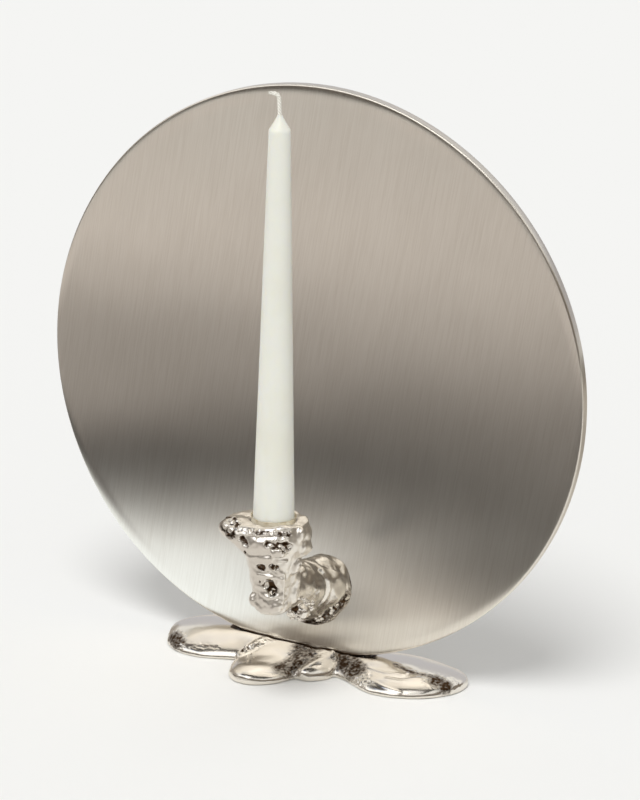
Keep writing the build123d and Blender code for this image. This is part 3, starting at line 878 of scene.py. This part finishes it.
# wick: three cotton strands laid round each other, stiff with wax and bent over at the end
wickShape = {
    # mm left of the axis and above the tip
    "path": [(0.0, -4.0), (0.1, 0.5), (0.3, 5.5), (0.5, 8.4), (0.9, 9.9), (2.1, 10.8), (4.0, 11.15), (5.9, 11.3)],
    "turn": 26.85,  # the bend points this far forward of straight left
    "strandRadius": 0.62,
    "layRadius": 0.5,
    "layLength": 5.0,  # one turn of the strands
    "strands": 3,
    "steps": 90,
    "sides": 12,
}


def makeWick(shape):
    side = math.radians(shape["turn"])
    left = Vector((-math.cos(side), -math.sin(side), 0))
    root = Vector((candleAxis.x, candleAxis.y, candleHigh.z / mm))
    guide = bpy.data.curves.new("wickGuide", "CURVE")
    guide.dimensions = "3D"
    guide.resolution_u = 24
    spline = guide.splines.new("NURBS")
    spline.points.add(len(shape["path"]) - 1)
    for point, (aside, up) in zip(spline.points, shape["path"]):
        point.co = (*(root + left * aside + axisZ * up), 1.0)
    spline.order_u = 3
    spline.use_endpoint_u = True
    line = bpy.data.objects.new("wickGuide", guide)
    scene.collection.objects.link(line)
    bent = line.evaluated_get(bpy.context.evaluated_depsgraph_get())
    dots = [v.co.copy() for v in bpy.data.meshes.new_from_object(bent).vertices]
    bpy.data.objects.remove(line)
    runs = np.concatenate([[0], np.cumsum([(b - a).length for a, b in zip(dots[:-1], dots[1:])])])
    table = np.array(dots)
    normal = left.cross(axisZ)

    def onPath(run):
        return np.array([np.interp(np.clip(run, 0, runs[-1]), runs, table[:, k]) for k in range(3)])

    strands = []
    for strand in range(shape["strands"]):
        rings = []
        for i in range(shape["steps"] + 1):
            run = runs[-1] * i / shape["steps"]
            ahead = Vector(onPath(run + 0.2) - onPath(run - 0.2)).normalized()
            across = normal.cross(ahead)
            lay = 2 * math.pi * (run / shape["layLength"] + strand / shape["strands"])
            spot = Vector(onPath(run)) + (normal * math.cos(lay) + across * math.sin(lay)) * shape["layRadius"]
            ends = min(1.0, 0.35 + 4.0 * (1 - i / shape["steps"]))  # rounded off at the end
            outs = around(shape["sides"], normal, across)
            rings.append([(spot + out * shape["strandRadius"] * ends) * mm for out in outs])
        strands.append(rings)
    mesh = ringMesh("cottonWick", *strands)
    meshPiece("cottonWick", mesh, cotton, "candle", "candle_wick")


makeWick(wickShape)
print("wick made")

# carried-over CAD pieces
for node in ("foot_screws", "arm_screws", "arm_washers", "cup_stud"):
    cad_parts[node].data.materials.clear()
    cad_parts[node].data.materials.append(steel)
print("CAD pieces finished")

# stage: a pale paper floor that fills the picture
stageLook = {"floor": "#f2f2f0", "floorSize": 30.0}  # m


def mattPaper(look):
    # uncoated studio paper: plain and dull
    material, tree = blankMaterial("studioPaper")
    addSurface(tree, {"Base Color": linear(look["floor"]), "Roughness": 1.0, "Specular IOR Level": 0.0})
    return material


def stageSheet(name, size, place, turn, material):
    w, h = size[0] / 2, size[1] / 2
    mesh = bpy.data.meshes.new(name)
    mesh.from_pydata([(-w, -h, 0), (w, -h, 0), (w, h, 0), (-w, h, 0)], [], [(0, 1, 2, 3)])
    mesh.materials.append(material)
    sheet = bpy.data.objects.new(name, mesh)
    sheet.location = place
    sheet.rotation_euler = turn
    scene.collection.objects.link(sheet)
    return sheet


floorSize = stageLook["floorSize"]
stageSheet("paperFloor", (floorSize, floorSize), (0, 0, 0), (0, 0, 0), mattPaper(stageLook))


# cards that only reflections see: what the studio shows in the plate and the castings
def cardSheet(name, size, place, turn, material, seenIn=None):
    sheet = stageSheet(name, size, place, turn, material)
    for ray in ("camera", "diffuse", "transmission", "volume_scatter", "shadow"):
        setattr(sheet, "visible_" + ray, False)
    if seenIn:  # light linking: the card shows in these pieces alone
        group = bpy.data.collections.new(name)
        for piece in seenIn:
            group.objects.link(piece)
        sheet.light_linking.receiver_collection = group


def glowMaterial(name, seeThrough=False):
    material, tree = blankMaterial(name)
    glow = surface = addNode(tree, "ShaderNodeEmission")
    if seeThrough:  # adds its glow to what lies under it
        clear = addNode(tree, "ShaderNodeBsdfTransparent")
        surface = addNode(tree, "ShaderNodeAddShader", links={0: glow.outputs[0], 1: clear.outputs[0]})
    addNode(tree, "ShaderNodeOutputMaterial", links={"Surface": surface.outputs[0]})
    return material, tree, glow


def glowByDistance(tree, glow, half, stops):  # the card's colour changes along its y
    where = addNode(tree, "ShaderNodeTexCoord").outputs["Object"]
    split = addNode(tree, "ShaderNodeSeparateXYZ", links={"Vector": where})
    far = addNode(tree, "ShaderNodeMapRange", {"From Min": half, "From Max": -half}, {"Value": split.outputs["Y"]})
    shade = addNode(tree, "ShaderNodeValToRGB", links={"Fac": far.outputs[0]}, stops=stops)
    tree.links.new(shade.outputs[0], glow.inputs["Color"])


cardLook = {"aim": (0, 0, 0.1), "low": 0.0003, "upper": 0.0006}  # m: what cards face, and how high the flat ones lie
cards = {  # size m, place m, colour, strength
    "softboxFront": ((2.2, 0.8), (-0.5, -1.2, 1.05), "#ffffff", 1.35),
    "blueStrip": ((1.6, 0.22), (-0.45, -0.95, 1.5), "#b4c4e6", 0.9),
    "darkFront": ((5.0, 0.42), (0.0, -2.1, 0.14), "#2c2722", 1.0),
    "darkLeft": ((2.6, 0.42), (-2.1, -0.9, 0.14), "#2c2722", 1.0),
    "darkRight": ((1.8, 0.42), (2.1, -1.1, 0.14), "#453e36", 1.0),
    "darkCeiling": ((3.4, 2.4), (0.0, -0.5, 2.3), "#3a352f", 1.0),
    "greyFront": ((6.0, 1.3), (0.0, -2.6, 0.95), "#857d74", 1.0),
    "greyLeft": ((4.6, 1.6), (-2.6, 0.0, 0.8), "#a39c95", 1.0),
    "greyRight": ((4.6, 1.6), (2.6, 0.0, 0.8), "#7d746a", 1.0),
    "greyRear": ((6.0, 2.0), (0.0, 2.6, 1.0), "#c6c6cb", 1.0),
}
for name, (size, place, hexCode, strength) in cards.items():
    material, tree, glow = glowMaterial(name)
    glow.inputs["Color"].default_value = linear(hexCode)
    glow.inputs["Strength"].default_value = strength
    aim = (Vector(cardLook["aim"]) - Vector(place)).to_track_quat("Z", "Y").to_euler()
    cardSheet(name, size, place, aim, material)

rearCard = {  # the floor behind the plate, dimmer farther away
    "size": (3.2, 1.5),
    "near": 0.05,
    "shades": [(0.15, "#4a433c"), (0.38, "#6f675e"), (0.55, "#aaa399"), (0.68, "#c9c3bb"), (0.8, "#918a81"),
               (0.96, "#e0dcd6")],
}
material, tree, glow = glowMaterial("rearCard")
half = rearCard["size"][1] / 2
glowByDistance(tree, glow, half, rearCard["shades"])
place = (0, rearCard["near"] + half, cardLook["low"])
cardSheet("rearCard", rearCard["size"], place, (0, 0, 0), material)

floorCard = {  # tones began as brightness measured on the plate in the photograph, then moved one by one
    "turn": -27.0,  # the way the plate mirrors the camera's look
    "near": 0.06,  # m in front of the plate
    "length": 1.5,
    "left": -1.6,
    "right": 1.8,
    "strength": 1.3,
    # what cup, arm and petals see instead
    "castFloor": [(0.08, "#d9d5d0"), (0.2, "#c9c4bf"), (0.33, "#958e86"), (0.55, "#5d554c"), (0.9, "#352f29")],
    "columns": [  # where each takes over from the one before, m to the right; slant; colours away from the plate
        (-1.6, -1.5, 0.0, [
            (0.098, "#f2faff"), (0.12, "#d9dcde"), (0.135, "#908c89"), (0.147, "#292827"), (0.16, "#050505"),
            (0.195, "#050505"), (0.21, "#393736"), (0.23, "#7e7a78"), (0.25, "#a5a09d"), (0.3, "#a9a4a1"),
            (0.35, "#9a9693"), (0.4, "#6c6967"), (0.435, "#676462"), (0.47, "#908c89"), (0.5, "#c4beba"),
            (0.55, "#e5deda"), (0.6, "#d3cdc9"), (0.64, "#c6c0bc"), (0.96, "#b9b4b0")]),
        (-0.14, -0.08, 0.0, [
            (0.0, "#f2faff"), (0.075, "#eff6fb"), (0.092, "#cdcdcd"), (0.11, "#7c7876"), (0.128, "#3c3a39"),
            (0.15, "#191818"), (0.19, "#1b1a19"), (0.21, "#343231"), (0.24, "#696664"), (0.28, "#8c8885"),
            (0.34, "#807c7a"), (0.38, "#545250"), (0.425, "#52504e"), (0.455, "#73706e"), (0.48, "#aaa5a2"),
            (0.53, "#e3dcd8"), (0.58, "#d2ccc8"), (0.64, "#c6c0bc"), (0.96, "#b9b4b0")]),
        (-0.012, 0.015, 1.8, [
            (0.0, "#1a1918"), (0.07, "#343230"), (0.1, "#9d9692"), (0.135, "#fffaf2"), (0.155, "#d1c8c2"),
            (0.18, "#64605d"), (0.21, "#3b3836"), (0.25, "#191818"), (0.32, "#060606"), (0.47, "#040404"),
            (0.495, "#3e3c3b"), (0.52, "#86827f"), (0.55, "#d0cac6"), (0.58, "#e7e0dc"), (0.63, "#e3dcd8"),
            (0.7, "#d2ccc8"), (0.86, "#c8c2be"), (0.98, "#b1aca9")]),
        (0.2, 0.25, 0.0, [
            (0.0, "#b4afac"), (0.05, "#9a9693"), (0.1, "#484645"), (0.15, "#171616"), (0.19, "#060606"),
            (0.255, "#060606"), (0.295, "#484645"), (0.34, "#afaaa7"), (0.42, "#ccc6c2"), (0.6, "#beb8b4"),
            (0.96, "#b1aca9")]),
    ],
    # a flag that darkens the plate's right edge
    "edgeShade": [(0.1, "#ffffff"), (0.135, "#dedede"), (0.18, "#dedede"), (0.21, "#ffffff")],
}


def makeFloorCard(look):
    material, tree, glow = glowMaterial("floorCard")
    where = addNode(tree, "ShaderNodeTexCoord").outputs["Object"]  # m, x to the right and -y away from the plate
    split = addNode(tree, "ShaderNodeSeparateXYZ", links={"Vector": where})
    half, middle = look["length"] / 2, (look["left"] + look["right"]) / 2
    mixed = None
    for start, end, slant, bands in look["columns"]:
        ends = {"From Min": half, "From Max": -half, "To Min": slant * middle, "To Max": 1 + slant * middle}
        far = addNode(tree, "ShaderNodeMapRange", ends, {"Value": split.outputs["Y"]}, clamp=False)
        lean = addNode(tree, "ShaderNodeMath", {1: slant}, {0: split.outputs["X"], 2: far.outputs[0]},
                       operation="MULTIPLY_ADD")
        column = addNode(tree, "ShaderNodeValToRGB", links={"Fac": lean.outputs[0]}, stops=bands).outputs[0]
        if mixed:
            share = addNode(tree, "ShaderNodeMapRange", {"From Min": start - middle, "From Max": end - middle},
                            {"Value": split.outputs["X"]}, interpolation_type="SMOOTHSTEP")
            both = {0: share.outputs[0], 6: mixed, 7: column}
            column = addNode(tree, "ShaderNodeMix", links=both, data_type="RGBA").outputs[2]
        mixed = column
    width = look["right"] - look["left"]
    across = addNode(tree, "ShaderNodeMapRange", {"From Min": -width / 2, "From Max": width / 2},
                     {"Value": split.outputs["X"]})
    stops = [((place - look["left"]) / width, hexCode) for place, hexCode in look["edgeShade"]]
    shade = addNode(tree, "ShaderNodeValToRGB", links={"Fac": across.outputs[0]}, stops=stops)
    level = addNode(tree, "ShaderNodeMath", {1: look["strength"]}, {0: shade.outputs[0]}, operation="MULTIPLY")
    tree.links.new(mixed, glow.inputs["Color"])
    tree.links.new(level.outputs[0], glow.inputs["Strength"])
    turn = math.radians(look["turn"])
    reach = look["near"] + half
    x = math.sin(turn) * reach + math.cos(turn) * middle
    y = -math.cos(turn) * reach + math.sin(turn) * middle
    size = (width, look["length"])
    cardSheet("floorCard", size, (x, y, cardLook["low"]), (0, 0, turn), material, [plate])
    material, tree, glow = glowMaterial("castFloor", seeThrough=True)
    glowByDistance(tree, glow, half, look["castFloor"])
    others = [piece for piece in pieces if piece != plate]
    cardSheet("castFloor", size, (x, y, cardLook["upper"]), (0, 0, turn), material, others)


makeFloorCard(floorCard)

# light: one soft key from high in front and an even fill
lightLook = {
    "sunTurn": (28.0, 0.0, 7.0),
    "sunSpread": 26.0,
    "sun": 1.54,
    "fill": "#ffffff",
    "fillStrength": 0.595,
    "backdrop": "#f4f4f2",
}
sunData = bpy.data.lights.new("softKey", "SUN")
sunData.energy = lightLook["sun"]
sunData.angle = math.radians(lightLook["sunSpread"])
sun = bpy.data.objects.new("softKey", sunData)
sun.rotation_euler = [math.radians(a) for a in lightLook["sunTurn"]]
scene.collection.objects.link(sun)
world = bpy.data.worlds.new("studioFill")
scene.world = world
world.use_nodes = True
tree = world.node_tree
tree.nodes.clear()
fill = addNode(tree, "ShaderNodeBackground",
               {"Color": linear(lightLook["fill"]), "Strength": lightLook["fillStrength"]})
backdrop = addNode(tree, "ShaderNodeBackground", {"Color": linear(lightLook["backdrop"])})
path = addNode(tree, "ShaderNodeLightPath")
seen = path.outputs["Is Camera Ray"]  # the paper goes on behind the floor's end, and metal shows it too
for kind in ("Is Glossy Ray", "Is Transmission Ray"):
    seen = addNode(tree, "ShaderNodeMath", links={0: seen, 1: path.outputs[kind]}, operation="MAXIMUM").outputs[0]
both = addNode(tree, "ShaderNodeMixShader", links={0: seen, 1: fill.outputs[0], 2: backdrop.outputs[0]})
addNode(tree, "ShaderNodeOutputWorld", links={"Surface": both.outputs[0]})
scene.view_settings.view_transform = "Standard"
print("stage and light set")
